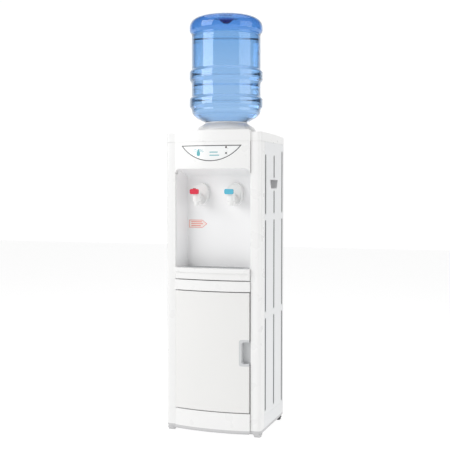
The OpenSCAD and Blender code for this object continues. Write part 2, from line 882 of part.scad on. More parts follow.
// Deck that carries the tanks
module works_deck() {
    color("lightgray") {
        block([4 - rear_half, jamb_back + fit, z_rail], [rear_half - 4, y_rear_panel - fit, z_works]);
        for (s = [-1, 1]) block([s * 60 - 8, y_hot - 20, z_works], [s * 60 + 8, y_hot + 20, z_works + 66]);
    }
}

// Bottle seat: a conical collar that runs down into the funnel and its well
well_r = neck_r + 6.5;
z_well = z_deck - 50;
seat_lip_r = 72;
seat_mouth_r = 64;
seat_wall = 3;
module bottle_seat() {
    color("white") translate([0, y_seat, 0]) rotate_extrude()
        polygon([[probe_r, z_well], [well_r + seat_wall, z_well],
                 [well_r + seat_wall, z_deck - 5], [seat_mouth_r + 2, z_deck + 14],
                 [seat_lip_r - 2, z_seat - 7], [seat_r - 5, z_deck + 9], [seat_r - 5, z_deck],
                 [seat_r, z_deck], [seat_r, z_deck + 14], [seat_r - 8, z_deck + 23],
                 [seat_lip_r, z_seat - 4], [seat_lip_r, z_seat],
                 [seat_lip_r - 4, z_seat], [seat_mouth_r, z_seat - 6],
                 [seat_mouth_r - 2, z_deck + 16], [well_r, z_deck - 3],
                 [well_r, z_well + seat_wall], [probe_r, z_well + seat_wall]]);
}

// Hollow probe that pierces the bottle's cap and feeds the cold tank
probe_r = 7.5;
probe_bore = 4.5;
z_probe = z_deck - 2;
module bottle_probe() {
    color("white") translate([0, y_seat, 0]) difference() {
        union() {
            translate([0, 0, z_cold_top]) cylinder(r = probe_r - eps, h = z_probe - 8 - z_cold_top);
            translate([0, 0, z_probe - 8]) cylinder(r1 = probe_r - eps, r2 = 3, h = 8);
        }
        translate([0, 0, z_cold_top - 1]) cylinder(r = probe_bore, h = z_probe - 9 - z_cold_top);
        for (a = [0, 90]) rotate([0, 0, a])
            translate([0, 0, z_probe - 20]) rotate([90, 0, 0]) cylinder(r = 3, h = 30, center = true);
    }
}

// Bottle: dome, hooped body, shoulder and neck, all from one outline set in by i
hoop = 7;
waist_r = bottle_r - hoop;
dome_r = 78;
dome_h = 32;
punt = 8;
punt_r = 24;
shoulder = [[34, waist_r], [27, waist_r - 4.5], [15.5, waist_r - 18], [4, seat_lip_r + 7.5],
            [-0.3, seat_lip_r - 6.5], [-8, seat_mouth_r - 6], [-22, neck_r + 17.5],
            [-31, neck_r + 2.5]];
hoops = [[44, 85, 8], [134, 177, 8.5], [296.5, bottle_h - dome_h, 9]];
neck_end = z_deck - 34;
function bottle_outline(i) = concat(
    [[0, z_seat + bottle_h - punt - i], [punt_r - i, z_seat + bottle_h - punt - i],
     [punt_r + 10 - i, z_seat + bottle_h - i]],
    [for (a = [90:-10:0]) [dome_r - i + (bottle_r - dome_r) * cos(a),
                           z_seat + bottle_h - dome_h + (dome_h - i) * sin(a)]],
    [[bottle_r - i, z_seat + hoops[2][0] + hoops[2][2] + i / 2],
     [waist_r - i, z_seat + hoops[2][0] + i / 2],
     [waist_r - i, z_seat + hoops[2][0] - 5], [waist_r - 2 - i, z_seat + hoops[2][0] - 7],
     [waist_r - i, z_seat + hoops[2][0] - 9]],
    [for (k = [1, 0]) each [[waist_r - i, z_seat + hoops[k][1] - i / 2],
     [bottle_r - i, z_seat + hoops[k][1] - hoops[k][2] / 2 - i / 2],
     [bottle_r - i, z_seat + hoops[k][0] + hoops[k][2] + i / 2],
     [waist_r - i, z_seat + hoops[k][0] + i / 2]]],
    [for (p = shoulder) [p[1] - i, z_seat + p[0] + 0.6 * i]],
    [[neck_r - i, z_seat - 38 + 0.4 * i], [neck_r - i, neck_end], [0, neck_end]]);
module water_bottle() {
    color("cornflowerblue", 0.6) translate([0, y_seat, 0]) rotate_extrude() difference() {
        polygon(bottle_outline(0));
        polygon(bottle_outline(bottle_wall));
    }
}

cap_h = 26;
cap_t = 2;
module bottle_cap() {
    color("white") translate([0, y_seat, neck_end - cap_t]) difference() {
        cylinder(r = neck_r + cap_t, h = cap_h);
        translate([0, 0, cap_t]) cylinder(r = neck_r + eps, h = cap_h);
        translate([0, 0, -1]) cylinder(r = probe_r + 1, h = cap_h);
    }
}

// Tanks
z_cold_top = z_well - 16;
z_cold = z_cold_top - cold_h;
tank_wall = 1.2;
module tank(r, z0, h) {
    translate([0, 0, z0]) difference() {
        cylinder(r = r, h = h);
        translate([0, 0, tank_wall]) cylinder(r = r - tank_wall, h = h - 2 * tank_wall);
    }
}

module cold_tank() {
    color("silver") difference() {
        translate([0, y_cold, 0]) tank(cold_r, z_cold, cold_h);
        translate([0, y_seat, z_cold_top - 5]) cylinder(r = probe_bore, h = 10);
    }
}

module cold_tank_foam() {
    color("khaki") difference() {
        translate([0, y_cold, z_cold - foam]) cylinder(r = cold_r + foam, h = cold_h + foam - 4);
        translate([0, y_cold, z_cold]) cylinder(r = cold_r + eps, h = cold_h);
        block([-21, y_cold, fan_z - 21], [21, y_cold + cold_r + foam + 1, fan_z + 21]);
        block([-tap_pitch / 2 - channel, y_alcove, z_cold - foam - 1],
              [-tap_pitch / 2 + channel, y_cold - cold_r / 2, z_barrel + channel]);
        block([cold_r / 2 - channel, y_alcove, z_barrel - channel],
              [tap_pitch / 2 + channel, y_cold - cold_r / 2, z_barrel + channel]);
    }
}

z_hot = z_works + 66;
module hot_tank() {
    color("silver") translate([0, y_hot, 0]) difference() {
        tank(hot_r, z_hot, hot_h);
        translate([0, 0, z_hot + hot_h - 5]) cylinder(r = tube_r, h = 10);
    }
}

band_h = 30;
band_t = 2.5;
module heater_band() {
    color("peru") translate([0, y_hot, z_hot + 25]) difference() {
        cylinder(r = hot_r + band_t, h = band_h);
        translate([0, 0, -1]) cylinder(r = hot_r + eps, h = band_h + 2);
    }
}

module thermostats() {
    color("black") difference() {
        for (z = [z_hot + 80, z_hot + 105]) bar_y(0, z, 9, y_hot + hot_r - 5, y_hot + hot_r + 8);
        translate([0, y_hot, z_hot]) cylinder(r = hot_r + eps, h = hot_h);
    }
}

// Water tubes as straight runs of round bar with ball elbows
shank_end = y_alcove + 26;
tube_turn = 12;
elbow = 1.5;
channel = 8;
hot_tube = [[-tap_pitch / 2, shank_end, z_barrel], [-tap_pitch / 2, shank_end + tube_turn, z_barrel],
            [-tap_pitch / 2, shank_end + tube_turn, z_hot + hot_h + 14],
            [-hot_r + 14, y_hot, z_hot + hot_h + 14], [-hot_r + 14, y_hot, z_hot + hot_h]];
cold_tube = [[tap_pitch / 2, shank_end, z_barrel], [tap_pitch / 2, shank_end + tube_turn, z_barrel],
             [cold_r / 2, y_cold - cold_r / 2, z_barrel]];
module run(points, r) {
    for (i = [0:len(points) - 2]) {
        d = points[i + 1] - points[i];
        l = norm(d);
        translate(points[i]) rotate([0, acos(d[2] / l), atan2(d[1], d[0])]) cylinder(r = r, h = l);
    }
    for (i = [1:len(points) - 2]) translate(points[i]) sphere(r = elbow * r, $fn = 48);
}
module water_tubes() {
    color("lightcyan") {
        run([[0, y_hot, z_cold - foam], [0, y_hot, z_hot + hot_h]], tube_r);
        run(hot_tube, tube_r);
        difference() {
            run(cold_tube, tube_r);
            translate([0, y_cold, z_cold]) cylinder(r = cold_r, h = cold_h);
        }
        run([[drain_x, y_rear_panel - 20, drain_z], [drain_x, y_hot + 30, drain_z],
             [20, y_hot + 20, drain_z], [20, y_hot + 20, z_hot]], tube_r);
    }
}

module drain_outlet() {
    color("white") difference() {
        bar_y(drain_x, drain_z, drain_r, y_rear_panel - 20, y_back);
        bar_y(drain_x, drain_z, tube_r, y_rear_panel - 18, y_back + 1);
    }
}

module drain_cap() {
    color("gray") difference() {
        bar_y(drain_x, drain_z, drain_r + 4, y_rear_panel + sheet + 0.4, body_d / 2);
        bar_y(drain_x, drain_z, drain_r + 0.05, y_rear_panel, y_back + fit);
    }
}

// Cooling set: module against the tank, finned sink and fan
sink_base = 6;
sink_w = 76;
y_sink = y_cold + cold_r + foam + 1;
y_fan = y_rear_panel - fan_d - 2;
module cooling_module() {
    color("white") difference() {
        block([-20, y_cold, fan_z - 20], [20, y_sink, fan_z + 20]);
        translate([0, y_cold, fan_z - 30]) cylinder(r = cold_r + eps, h = 60);
    }
}

module heat_sink() {
    fins = 13;
    color("lightgray") {
        block([-sink_w / 2, y_sink, fan_z - sink_w / 2],
              [sink_w / 2, y_sink + sink_base, fan_z + sink_w / 2]);
        for (i = [0:fins - 1])
            translate([(i - (fins - 1) / 2) * (sink_w - 2) / (fins - 1) - 0.8, y_sink + sink_base - eps,
                fan_z - sink_w / 2]) cube([1.6, y_fan - 1 - y_sink - sink_base, sink_w]);
    }
}

fan_bore = fan_size / 2 - 2.5;
fan_hub = 15;
module fan_frame() {
    color("black") difference() {
        block([-fan_size / 2, y_fan, fan_z - fan_size / 2],
              [fan_size / 2, y_fan + fan_d, fan_z + fan_size / 2]);
        difference() {
            bar_y(0, fan_z, fan_bore, y_fan - 1, y_fan + fan_d + 1);
            bar_y(0, fan_z, fan_hub, y_fan + fan_d - 3, y_fan + fan_d);
            for (a = [0:90:270]) translate([0, y_fan + fan_d - 3, fan_z]) rotate([0, a, 0])
                translate([0, 0, -1.5]) cube([fan_bore + 1, 3, 3]);
        }
        for (sx = [-1, 1], sz = [-1, 1])
            bar_y(sx * (fan_size / 2 - 4.5), fan_z + sz * (fan_size / 2 - 4.5), 2, y_fan - 1, y_back);
    }
}

module fan_rotor() {
    blades = 7;
    color("dimgray") intersection() {
        union() {
            bar_y(0, fan_z, fan_hub, y_fan + 1, y_fan + fan_d - 3.5);
            for (k = [0:blades - 1]) translate([0, y_fan + fan_d / 2 - 1.2, fan_z])
                rotate([0, k * 360 / blades, 0]) translate([fan_hub - 2, 0, 0]) rotate([38, 0, 0])
                    translate([0, -6, -0.8]) cube([fan_bore - fan_hub + 2, 12, 1.6]);
        }
        bar_y(0, fan_z, fan_bore - 1, y_fan + 0.5, y_fan + fan_d - 3.5);
    }
}

// Electrics
module control_board() {
    z0 = z_works + 90;
    x0 = rear_half - 12;
    color("seagreen") {
        block([x0, y_alcove + 20, z0], [x0 + 2, y_alcove + 130, z0 + 90]);
        block([x0 - 22, y_alcove + 30, z0 + 10], [x0, y_alcove + 65, z0 + 45]);
        block([x0 - 14, y_alcove + 80, z0 + 15], [x0, y_alcove + 100, z0 + 35]);
    }
}

rocker_w = 13;
rocker_h = 21;
module switch_frame() {
    color("black") difference() {
        for (s = [-1, 1]) {
            z = switch_z + s * switch_pitch / 2;
            block([switch_x - switch_w / 2, y_rear_panel - 14, z - switch_hh / 2],
                  [switch_x + switch_w / 2, y_rear_panel + sheet, z + switch_hh / 2]);
            block([switch_x - switch_w / 2 - 2, y_rear_panel + sheet, z - switch_hh / 2 - 2],
                  [switch_x + switch_w / 2 + 2, y_rear_panel + sheet + 1, z + switch_hh / 2 + 2]);
        }
        for (s = [-1, 1]) {
            z = switch_z + s * switch_pitch / 2;
            block([switch_x - rocker_w / 2 - 0.5, y_rear_panel - 12, z - rocker_h / 2 - 1],
                  [switch_x + rocker_w / 2 + 0.5, y_back + 1, z + rocker_h / 2 + 1]);
        }
    }
}

rocker_tilt = 8;
rocker_t = 3;
module rocker(z) {
    translate([switch_x, y_rear_panel - 2, z]) rotate([-rocker_tilt, 0, 0]) {
        translate([-rocker_w / 2, 0, -rocker_h / 2]) cube([rocker_w, rocker_t, rocker_h]);
        bar_x(0, 0, rocker_t - 0.2, -rocker_w / 2, rocker_w / 2);
    }
}

module heating_switch() { color("red") rocker(switch_z + switch_pitch / 2); }

module cooling_switch() { color("green") rocker(switch_z - switch_pitch / 2); }

module cord_gland() {
    color("black") difference() {
        union() {
            bar_y(gland_x, gland_z, gland_r - eps, y_rear_panel - 8, y_rear_panel + sheet);
            bar_y(gland_x, gland_z, gland_r + 3, y_rear_panel + sheet, body_d / 2 - 1);
            bar_y(gland_x, gland_z, gland_r + 3, y_rear_panel - 8, y_rear_panel);
        }
        bar_y(gland_x, gland_z, 3.5, y_rear_panel - 10, y_back + 10);
    }
}

front_feet();
rear_feet();
base_tray();
left_front_pillar();
right_front_pillar();
left_side_panel();
right_side_panel();
left_handle_cup();
right_handle_cup();
rear_panel();
top_cover();
upper_fascia();
window_frame();
indicator_window();
heating_light();
cooling_light();
alcove_liner();
hot_escutcheon();
cold_escutcheon();
hot_tap_body();
cold_tap_body();
tap_nuts();
hot_lever();
cold_lever();
hot_valve_stem();
cold_valve_stem();
safety_catch();
drip_tray();
drip_grille();
mid_rail();
kick_panel();
door_shell();
door_lining();
door_pull();
door_hinge_pins();
door_catch();
cabinet_liner();
works_deck();
bottle_seat();
bottle_probe();
water_bottle();
bottle_cap();
cold_tank();
cold_tank_foam();
hot_tank();
heater_band();
thermostats();
water_tubes();
drain_outlet();
drain_cap();
cooling_module();
heat_sink();
fan_frame();
fan_rotor();
control_board();
switch_frame();
heating_switch();
cooling_switch();
cord_gland();
rear_screws();
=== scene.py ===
import bpy
import bmesh
import json
import math
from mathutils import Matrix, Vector


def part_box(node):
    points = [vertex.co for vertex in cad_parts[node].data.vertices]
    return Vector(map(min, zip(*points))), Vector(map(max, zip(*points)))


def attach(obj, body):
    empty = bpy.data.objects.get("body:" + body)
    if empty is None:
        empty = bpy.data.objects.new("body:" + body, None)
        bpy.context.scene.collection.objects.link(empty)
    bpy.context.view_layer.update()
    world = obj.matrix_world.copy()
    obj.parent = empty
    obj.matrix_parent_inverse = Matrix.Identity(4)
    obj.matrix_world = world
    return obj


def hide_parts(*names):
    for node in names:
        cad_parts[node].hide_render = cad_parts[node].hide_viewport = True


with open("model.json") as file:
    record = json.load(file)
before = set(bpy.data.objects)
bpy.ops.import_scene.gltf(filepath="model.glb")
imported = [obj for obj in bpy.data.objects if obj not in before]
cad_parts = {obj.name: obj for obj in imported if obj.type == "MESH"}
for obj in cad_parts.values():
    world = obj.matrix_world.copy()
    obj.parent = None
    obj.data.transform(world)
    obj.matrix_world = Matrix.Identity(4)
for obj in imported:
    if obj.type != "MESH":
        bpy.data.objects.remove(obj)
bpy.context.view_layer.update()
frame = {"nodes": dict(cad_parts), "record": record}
nodes = frame["nodes"]
scene = bpy.context.scene
mm = 0.001
print("frame loaded:", len(nodes), "parts")


# camera, light and floor
studio = {
    "cameraAt": (0.9655, -2.733, 0.8031),
    "turnDeg": 19.45,
    "tiltDeg": 2.33,
    "lensMm": 68.2,
    "backdropGlow": 1.03,
    # cosine of the angle off the backdrop, and the share of its glow there
    "glowStops": ((-1.0, 0.45), (0.0, 0.45), (0.15, 0.16), (0.62, 0.16), (0.84, 1.0), (1.0, 1.0)),
    "keyPower": 84.0,
    "keyAt": (-2.7, -2.8, 2.3),
    "keySize": (2.8, 2.8),
    "sidePower": 30.0,
    "sideAt": (3.1, -0.3, 1.3),
    "sideSize": (2.4, 2.8),
    "topPower": 30.0,
    "topAt": (0.0, 0.0, 3.4),
    "topSize": (3.0, 3.0),
    "floorColour": (0.34, 0.34, 0.34),
    "floorGlow": 0.80,
    "floorHalf": 9.0,
    "floorDrop": 0.0005,    # below the feet, so that the two faces never share a plane
    "aimAt": (0.0, 0.0, 0.7),
}


def aimed(obj, target):
    way = Vector(target) - obj.location
    obj.rotation_euler = way.to_track_quat("-Z", "Y").to_euler()


# a white backdrop with dark flags on both sides of it, and a dimmer room behind the camera
def buildRoomGlow(backdrop):
    world = bpy.data.worlds.new("softWhiteRoom")
    scene.world = world
    world.use_nodes = True
    tree = world.node_tree
    coord = tree.nodes.new("ShaderNodeTexCoord")
    dot = tree.nodes.new("ShaderNodeVectorMath")
    dot.operation = "DOT_PRODUCT"
    dot.inputs[1].default_value = backdrop
    tree.links.new(coord.outputs["Generated"], dot.inputs[0])
    stops = [((cosine + 1) / 2, (glow, glow, glow)) for cosine, glow in studio["glowStops"]]
    toward = spread(tree, dot.outputs["Value"], fromLow=-1)
    sky = tree.nodes["Background"]
    sky.inputs["Strength"].default_value = studio["backdropGlow"]
    tree.links.new(colourRamp(tree, toward, stops, "EASE"), sky.inputs["Color"])


def buildStudio():
    cam = bpy.data.objects.new("camera", bpy.data.cameras.new("camera"))
    scene.collection.objects.link(cam)
    turn, tilt = math.radians(studio["turnDeg"]), math.radians(studio["tiltDeg"])
    cam.location = studio["cameraAt"]
    way = Vector((-math.sin(turn) * math.cos(tilt), math.cos(turn) * math.cos(tilt), -math.sin(tilt)))
    cam.rotation_euler = way.to_track_quat("-Z", "Y").to_euler()
    cam.data.lens = studio["lensMm"]
    cam.data.sensor_width = 36
    cam.data.clip_end = 60
    scene.camera = cam

    buildRoomGlow(Vector((way.x, way.y, 0)).normalized())
    for name in ("key", "side", "top"):
        lamp = bpy.data.objects.new(name + "Light", bpy.data.lights.new(name + "Light", "AREA"))
        lamp.data.energy = studio[name + "Power"]
        lamp.data.shape = "RECTANGLE"
        lamp.data.size, lamp.data.size_y = studio[name + "Size"]
        lamp.location = studio[name + "At"]
        aimed(lamp, studio["aimAt"])
        scene.collection.objects.link(lamp)

    half, drop = studio["floorHalf"], studio["floorDrop"]
    bm = bmesh.new()
    bm.faces.new([bm.verts.new((x, y, -drop)) for x, y in
                  ((-half, -half), (half, -half), (half, half), (-half, half))])
    mesh = bpy.data.meshes.new("floor")
    bm.to_mesh(mesh)
    bm.free()
    floor = bpy.data.objects.new("floor", mesh)
    scene.collection.objects.link(floor)
    mat, tree, shader = newMaterial("paleFloor")
    shader.inputs["Base Color"].default_value = (*studio["floorColour"], 1)
    shader.inputs["Roughness"].default_value = 0.8
    shader.inputs["Specular IOR Level"].default_value = 0.1
    shader.inputs["Emission Color"].default_value = (1, 1, 1, 1)
    shader.inputs["Emission Strength"].default_value = studio["floorGlow"]
    mesh.materials.append(mat)
    scene.view_settings.view_transform = "Standard"


# finishes
def newMaterial(name):
    mat = bpy.data.materials.new(name)
    mat.use_nodes = True
    tree = mat.node_tree
    return mat, tree, tree.nodes["Principled BSDF"]


def objectCoord(tree):
    return tree.nodes.new("ShaderNodeTexCoord").outputs["Object"]


def objectAxis(tree, axis):
    split = tree.nodes.new("ShaderNodeSeparateXYZ")
    tree.links.new(objectCoord(tree), split.inputs["Vector"])
    return split.outputs[axis]


# noise over the object's own coordinates
def objectNoise(tree, scale, detail=3.0, stretch=None):
    place = objectCoord(tree)
    if stretch:
        mapping = tree.nodes.new("ShaderNodeMapping")
        mapping.inputs["Scale"].default_value = stretch
        tree.links.new(place, mapping.inputs["Vector"])
        place = mapping.outputs["Vector"]
    noise = tree.nodes.new("ShaderNodeTexNoise")
    noise.inputs["Scale"].default_value = scale
    noise.inputs["Detail"].default_value = detail
    tree.links.new(place, noise.inputs["Vector"])
    return noise.outputs["Fac"]


# maps a value from one range to another
def spread(tree, source, low=0, high=1, fromLow=0, fromHigh=1, kind="LINEAR"):
    node = tree.nodes.new("ShaderNodeMapRange")
    node.interpolation_type = kind
    node.inputs["From Min"].default_value = fromLow
    node.inputs["From Max"].default_value = fromHigh
    node.inputs["To Min"].default_value = low
    node.inputs["To Max"].default_value = high
    tree.links.new(source, node.inputs["Value"])
    return node.outputs["Result"]


# colours along a factor; each stop is a position from 0 to 1 and a colour
def colourRamp(tree, factor, colours, kind="LINEAR"):
    node = tree.nodes.new("ShaderNodeValToRGB")
    node.color_ramp.interpolation = kind
    stops = node.color_ramp.elements
    for position, _ in colours[1:-1]:
        stops.new(position)
    for stop, (position, colour) in zip(stops, colours):
        stop.position = position
        stop.color = (*colour, 1)
    tree.links.new(factor, node.inputs["Fac"])
    return node.outputs["Color"]


def blendColours(tree, factor, first, second):
    node = tree.nodes.new("ShaderNodeMix")
    node.data_type = "RGBA"
    tree.links.new(factor, node.inputs["Factor"])
    for socket, value in ((node.inputs[6], first), (node.inputs[7], second)):
        if isinstance(value, tuple):
            socket.default_value = (*value, 1)
        else:
            tree.links.new(value, socket)
    return node.outputs[2]


def addBump(tree, shader, height, depth, strength=1.0):
    bump = tree.nodes.new("ShaderNodeBump")
    bump.inputs["Distance"].default_value = depth
    bump.inputs["Strength"].default_value = strength
    tree.links.new(height, bump.inputs["Height"])
    tree.links.new(bump.outputs["Normal"], shader.inputs["Normal"])


# roughness that wanders a little around its value
def wipedRoughness(tree, shader, scale, detail, low, high):
    wipe = objectNoise(tree, scale, detail)
    tree.links.new(spread(tree, wipe, low, high), shader.inputs["Roughness"])


mottle = 0.02    # how much darker the darkest clouding of a moulding is


def mouldedPlastic(name, colour, roughness, grain=0.00004, grainScale=1400, coat=0.0):
    mat, tree, shader = newMaterial(name)
    darker = tuple(c * (1 - mottle) for c in colour)
    lighter = tuple(min(1.0, c * (1 + mottle / 2)) for c in colour)
    clouded = blendColours(tree, objectNoise(tree, 6.0, 4.0), darker, lighter)
    tree.links.new(clouded, shader.inputs["Base Color"])
    wipedRoughness(tree, shader, 22.0, 6.0, roughness - 0.05, roughness + 0.07)
    addBump(tree, shader, objectNoise(tree, grainScale, 2.0), grain)
    shader.inputs["IOR"].default_value = 1.5
    shader.inputs["Coat Weight"].default_value = coat
    return mat


# powder coat with a faint orange-peel
def coatedSheet(name, colour, roughness=0.35):
    mat, tree, shader = newMaterial(name)
    darker = tuple(c * 0.975 for c in colour)
    clouded = blendColours(tree, objectNoise(tree, 4.0), darker, colour)
    tree.links.new(clouded, shader.inputs["Base Color"])
    wipedRoughness(tree, shader, 30.0, 5.0, roughness - 0.04, roughness + 0.06)
    addBump(tree, shader, objectNoise(tree, 420.0, 2.0), 0.00006)
    return mat


# 1 where the object's x is nearer the middle than level, on both sides: the mask for the shade painted
# into the side panel grooves
def sunkBelow(tree, level):
    size = tree.nodes.new("ShaderNodeMath")
    size.operation = "ABSOLUTE"
    tree.links.new(objectAxis(tree, "X"), size.inputs[0])
    edge = tree.nodes.new("ShaderNodeMath")
    edge.operation = "LESS_THAN"
    edge.inputs[1].default_value = level
    tree.links.new(size.outputs[0], edge.inputs[0])
    return edge.outputs[0]


# side panel coat with painted shade: a dark colour painted in the bottom of the pressed grooves, where
# shade falls
def sheetWithPaintedGrooveShade(name, colour, grooveShade, level):
    mat = coatedSheet(name, colour)
    tree = mat.node_tree
    shader = tree.nodes["Principled BSDF"]
    coat = shader.inputs["Base Color"].links[0].from_socket
    grooveShaded = blendColours(tree, sunkBelow(tree, level), coat, grooveShade)
    tree.links.new(grooveShaded, shader.inputs["Base Color"])
    return mat


# metal with fine streaks across its height
def brushedMetal(name, colour, roughness):
    mat, tree, shader = newMaterial(name)
    streak = objectNoise(tree, 30.0, 6.0, (1, 1, 40))
    darker = tuple(c * 0.86 for c in colour)
    tree.links.new(blendColours(tree, streak, darker, colour), shader.inputs["Base Color"])
    tree.links.new(spread(tree, streak, roughness - 0.08, roughness + 0.12), shader.inputs["Roughness"])
    shader.inputs["Metallic"].default_value = 1.0
    addBump(tree, shader, streak, 0.00003)
    return mat


def roughFoam(name, colour):
    mat, tree, shader = newMaterial(name)
    cells = tree.nodes.new("ShaderNodeTexVoronoi")
    cells.inputs["Scale"].default_value = 260
    tree.links.new(objectCoord(tree), cells.inputs["Vector"])
    darker = tuple(c * 0.8 for c in colour)
    pitted = blendColours(tree, cells.outputs["Distance"], colour, darker)
    tree.links.new(pitted, shader.inputs["Base Color"])
    shader.inputs["Roughness"].default_value = 0.9
    addBump(tree, shader, cells.outputs["Distance"], 0.0006)
    return mat


def softRubber(name, colour):
    mat, tree, shader = newMaterial(name)
    lighter = tuple(min(1, c * 1.2 + 0.01) for c in colour)
    dusty = blendColours(tree, objectNoise(tree, 60.0, 5.0), colour, lighter)
    tree.links.new(dusty, shader.inputs["Base Color"])
    shader.inputs["Roughness"].default_value = 0.62
    addBump(tree, shader, objectNoise(tree, 900.0, 2.0), 0.00005)
    return mat


# clear moulding whose tint deepens with the length of the way through it
def clearTint(name, colour, density, ior, roughness=0.03):
    mat, tree, shader = newMaterial(name)
    shader.inputs["Base Color"].default_value = (0.97, 0.985, 1.0, 1)
    shader.inputs["Transmission Weight"].default_value = 1.0
    shader.inputs["IOR"].default_value = ior
    wipedRoughness(tree, shader, 9.0, 4.0, roughness * 0.6, roughness * 1.6)
    addBump(tree, shader, objectNoise(tree, 26.0, 2.0, (1, 1, 0.35)), 0.0006, 0.6)
    tint = tree.nodes.new("ShaderNodeVolumeAbsorption")
    tint.inputs["Color"].default_value = (*colour, 1)
    tint.inputs["Density"].default_value = density
    tree.links.new(tint.outputs["Volume"], tree.nodes["Material Output"].inputs["Volume"])
    return mat


blownTint = {
    "stops": (    # height above the seat, mm, and the tint of the plastic there
        (0.0, (0.95, 0.98, 1.0)), (150.0, (0.90, 0.955, 1.0)), (282.0, (0.74, 0.87, 0.97)),
        (300.0, (0.42, 0.66, 0.90)), (356.0, (0.36, 0.60, 0.88)),
    ),
    "topSpotColour": (0.03, 0.03, 0.34),
    "topSpotDownMm": 12.0,        # below the top of the bottle, where the navy spot is centred
    "topSpotMm": (16.0, 44.0),    # the navy tint round the spot's centre fades out between these distances
}


# bottle plastic, deeper in colour towards its base, which stands at the top, with a navy spot near the
# top centre
def blownBottle(name, colour, density, ior):
    mat = clearTint(name, colour, density, ior)
    tree = mat.node_tree
    low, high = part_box("water_bottle")
    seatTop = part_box("bottle_seat")[1].z
    tall = blownTint["stops"][-1][0]
    rise = spread(tree, objectAxis(tree, "Z"), fromLow=seatTop, fromHigh=seatTop + tall * mm)
    byHeight = colourRamp(tree, rise, [(height / tall, tint) for height, tint in blownTint["stops"]])
    away = tree.nodes.new("ShaderNodeVectorMath")
    away.operation = "DISTANCE"
    topSpotZ = high.z - blownTint["topSpotDownMm"] * mm
    away.inputs[1].default_value = ((low.x + high.x) / 2, (low.y + high.y) / 2, topSpotZ)
    tree.links.new(objectCoord(tree), away.inputs[0])
    near, clear = (d * mm for d in blownTint["topSpotMm"])
    fade = spread(tree, away.outputs["Value"], fromLow=near, fromHigh=clear, kind="SMOOTHSTEP")
    mixed = blendColours(tree, fade, blownTint["topSpotColour"], byHeight)
    tree.links.new(mixed, tree.nodes["Principled BSDF"].inputs["Base Color"])
    return mat


finishes = {
    "frameWhite": (0.84, 0.84, 0.835),
    "doorWhite": (0.80, 0.797, 0.785),
    "sideWhite": (0.79, 0.80, 0.81),
    # painted shade colour for the bottoms of the side panel grooves
    "paintedGrooveShade": (0.11, 0.112, 0.115),
    "linerWhite": (0.88, 0.88, 0.885),
    "baseGrey": (0.58, 0.58, 0.585),
    "pullGrey": (0.60, 0.61, 0.62),
    "handleGrey": (0.66, 0.66, 0.67),
    "grilleGrey": (0.48, 0.49, 0.50),
    "black": (0.03, 0.03, 0.032),
    "windowRim": (0.045, 0.047, 0.05),
    "windowWhite": (0.88, 0.89, 0.89),
    "hotRed": (0.68, 0.025, 0.06),
    "catchRed": (0.42, 0.015, 0.03),
    "coldBlue": (0.10, 0.46, 0.62),
    "silicone": (0.42, 0.43, 0.45),
    "sheetGrey": (0.60, 0.61, 0.62),
    "plated": (0.66, 0.66, 0.68),
    "stainless": (0.72, 0.73, 0.75),
    "foam": (0.80, 0.72, 0.50),
    "mica": (0.36, 0.24, 0.12),
    "tube": (0.75, 0.78, 0.80),
    "ceramic": (0.85, 0.85, 0.82),
    "aluminium": (0.74, 0.74, 0.76),
    "board": (0.02, 0.16, 0.07),
    "capBlue": (0.55, 0.66, 0.80),
    "printTeal": (0.12, 0.42, 0.47),
    "printRed": (0.80, 0.16, 0.12),
    "labelCream": (0.90, 0.80, 0.76),
    "redLens": (0.03, 0.004, 0.004),
    "greenLens": (0.004, 0.02, 0.008),
    "rockerRed": (0.60, 0.02, 0.02),
    "rockerGreen": (0.02, 0.30, 0.07),
    "bottleTint": (0.12, 0.50, 0.86),
    "waterTint": (0.15, 0.55, 0.86),
}
grooveDepth = 1.6    # below this depth the side panel's coat is painted dark, as shade in the grooves
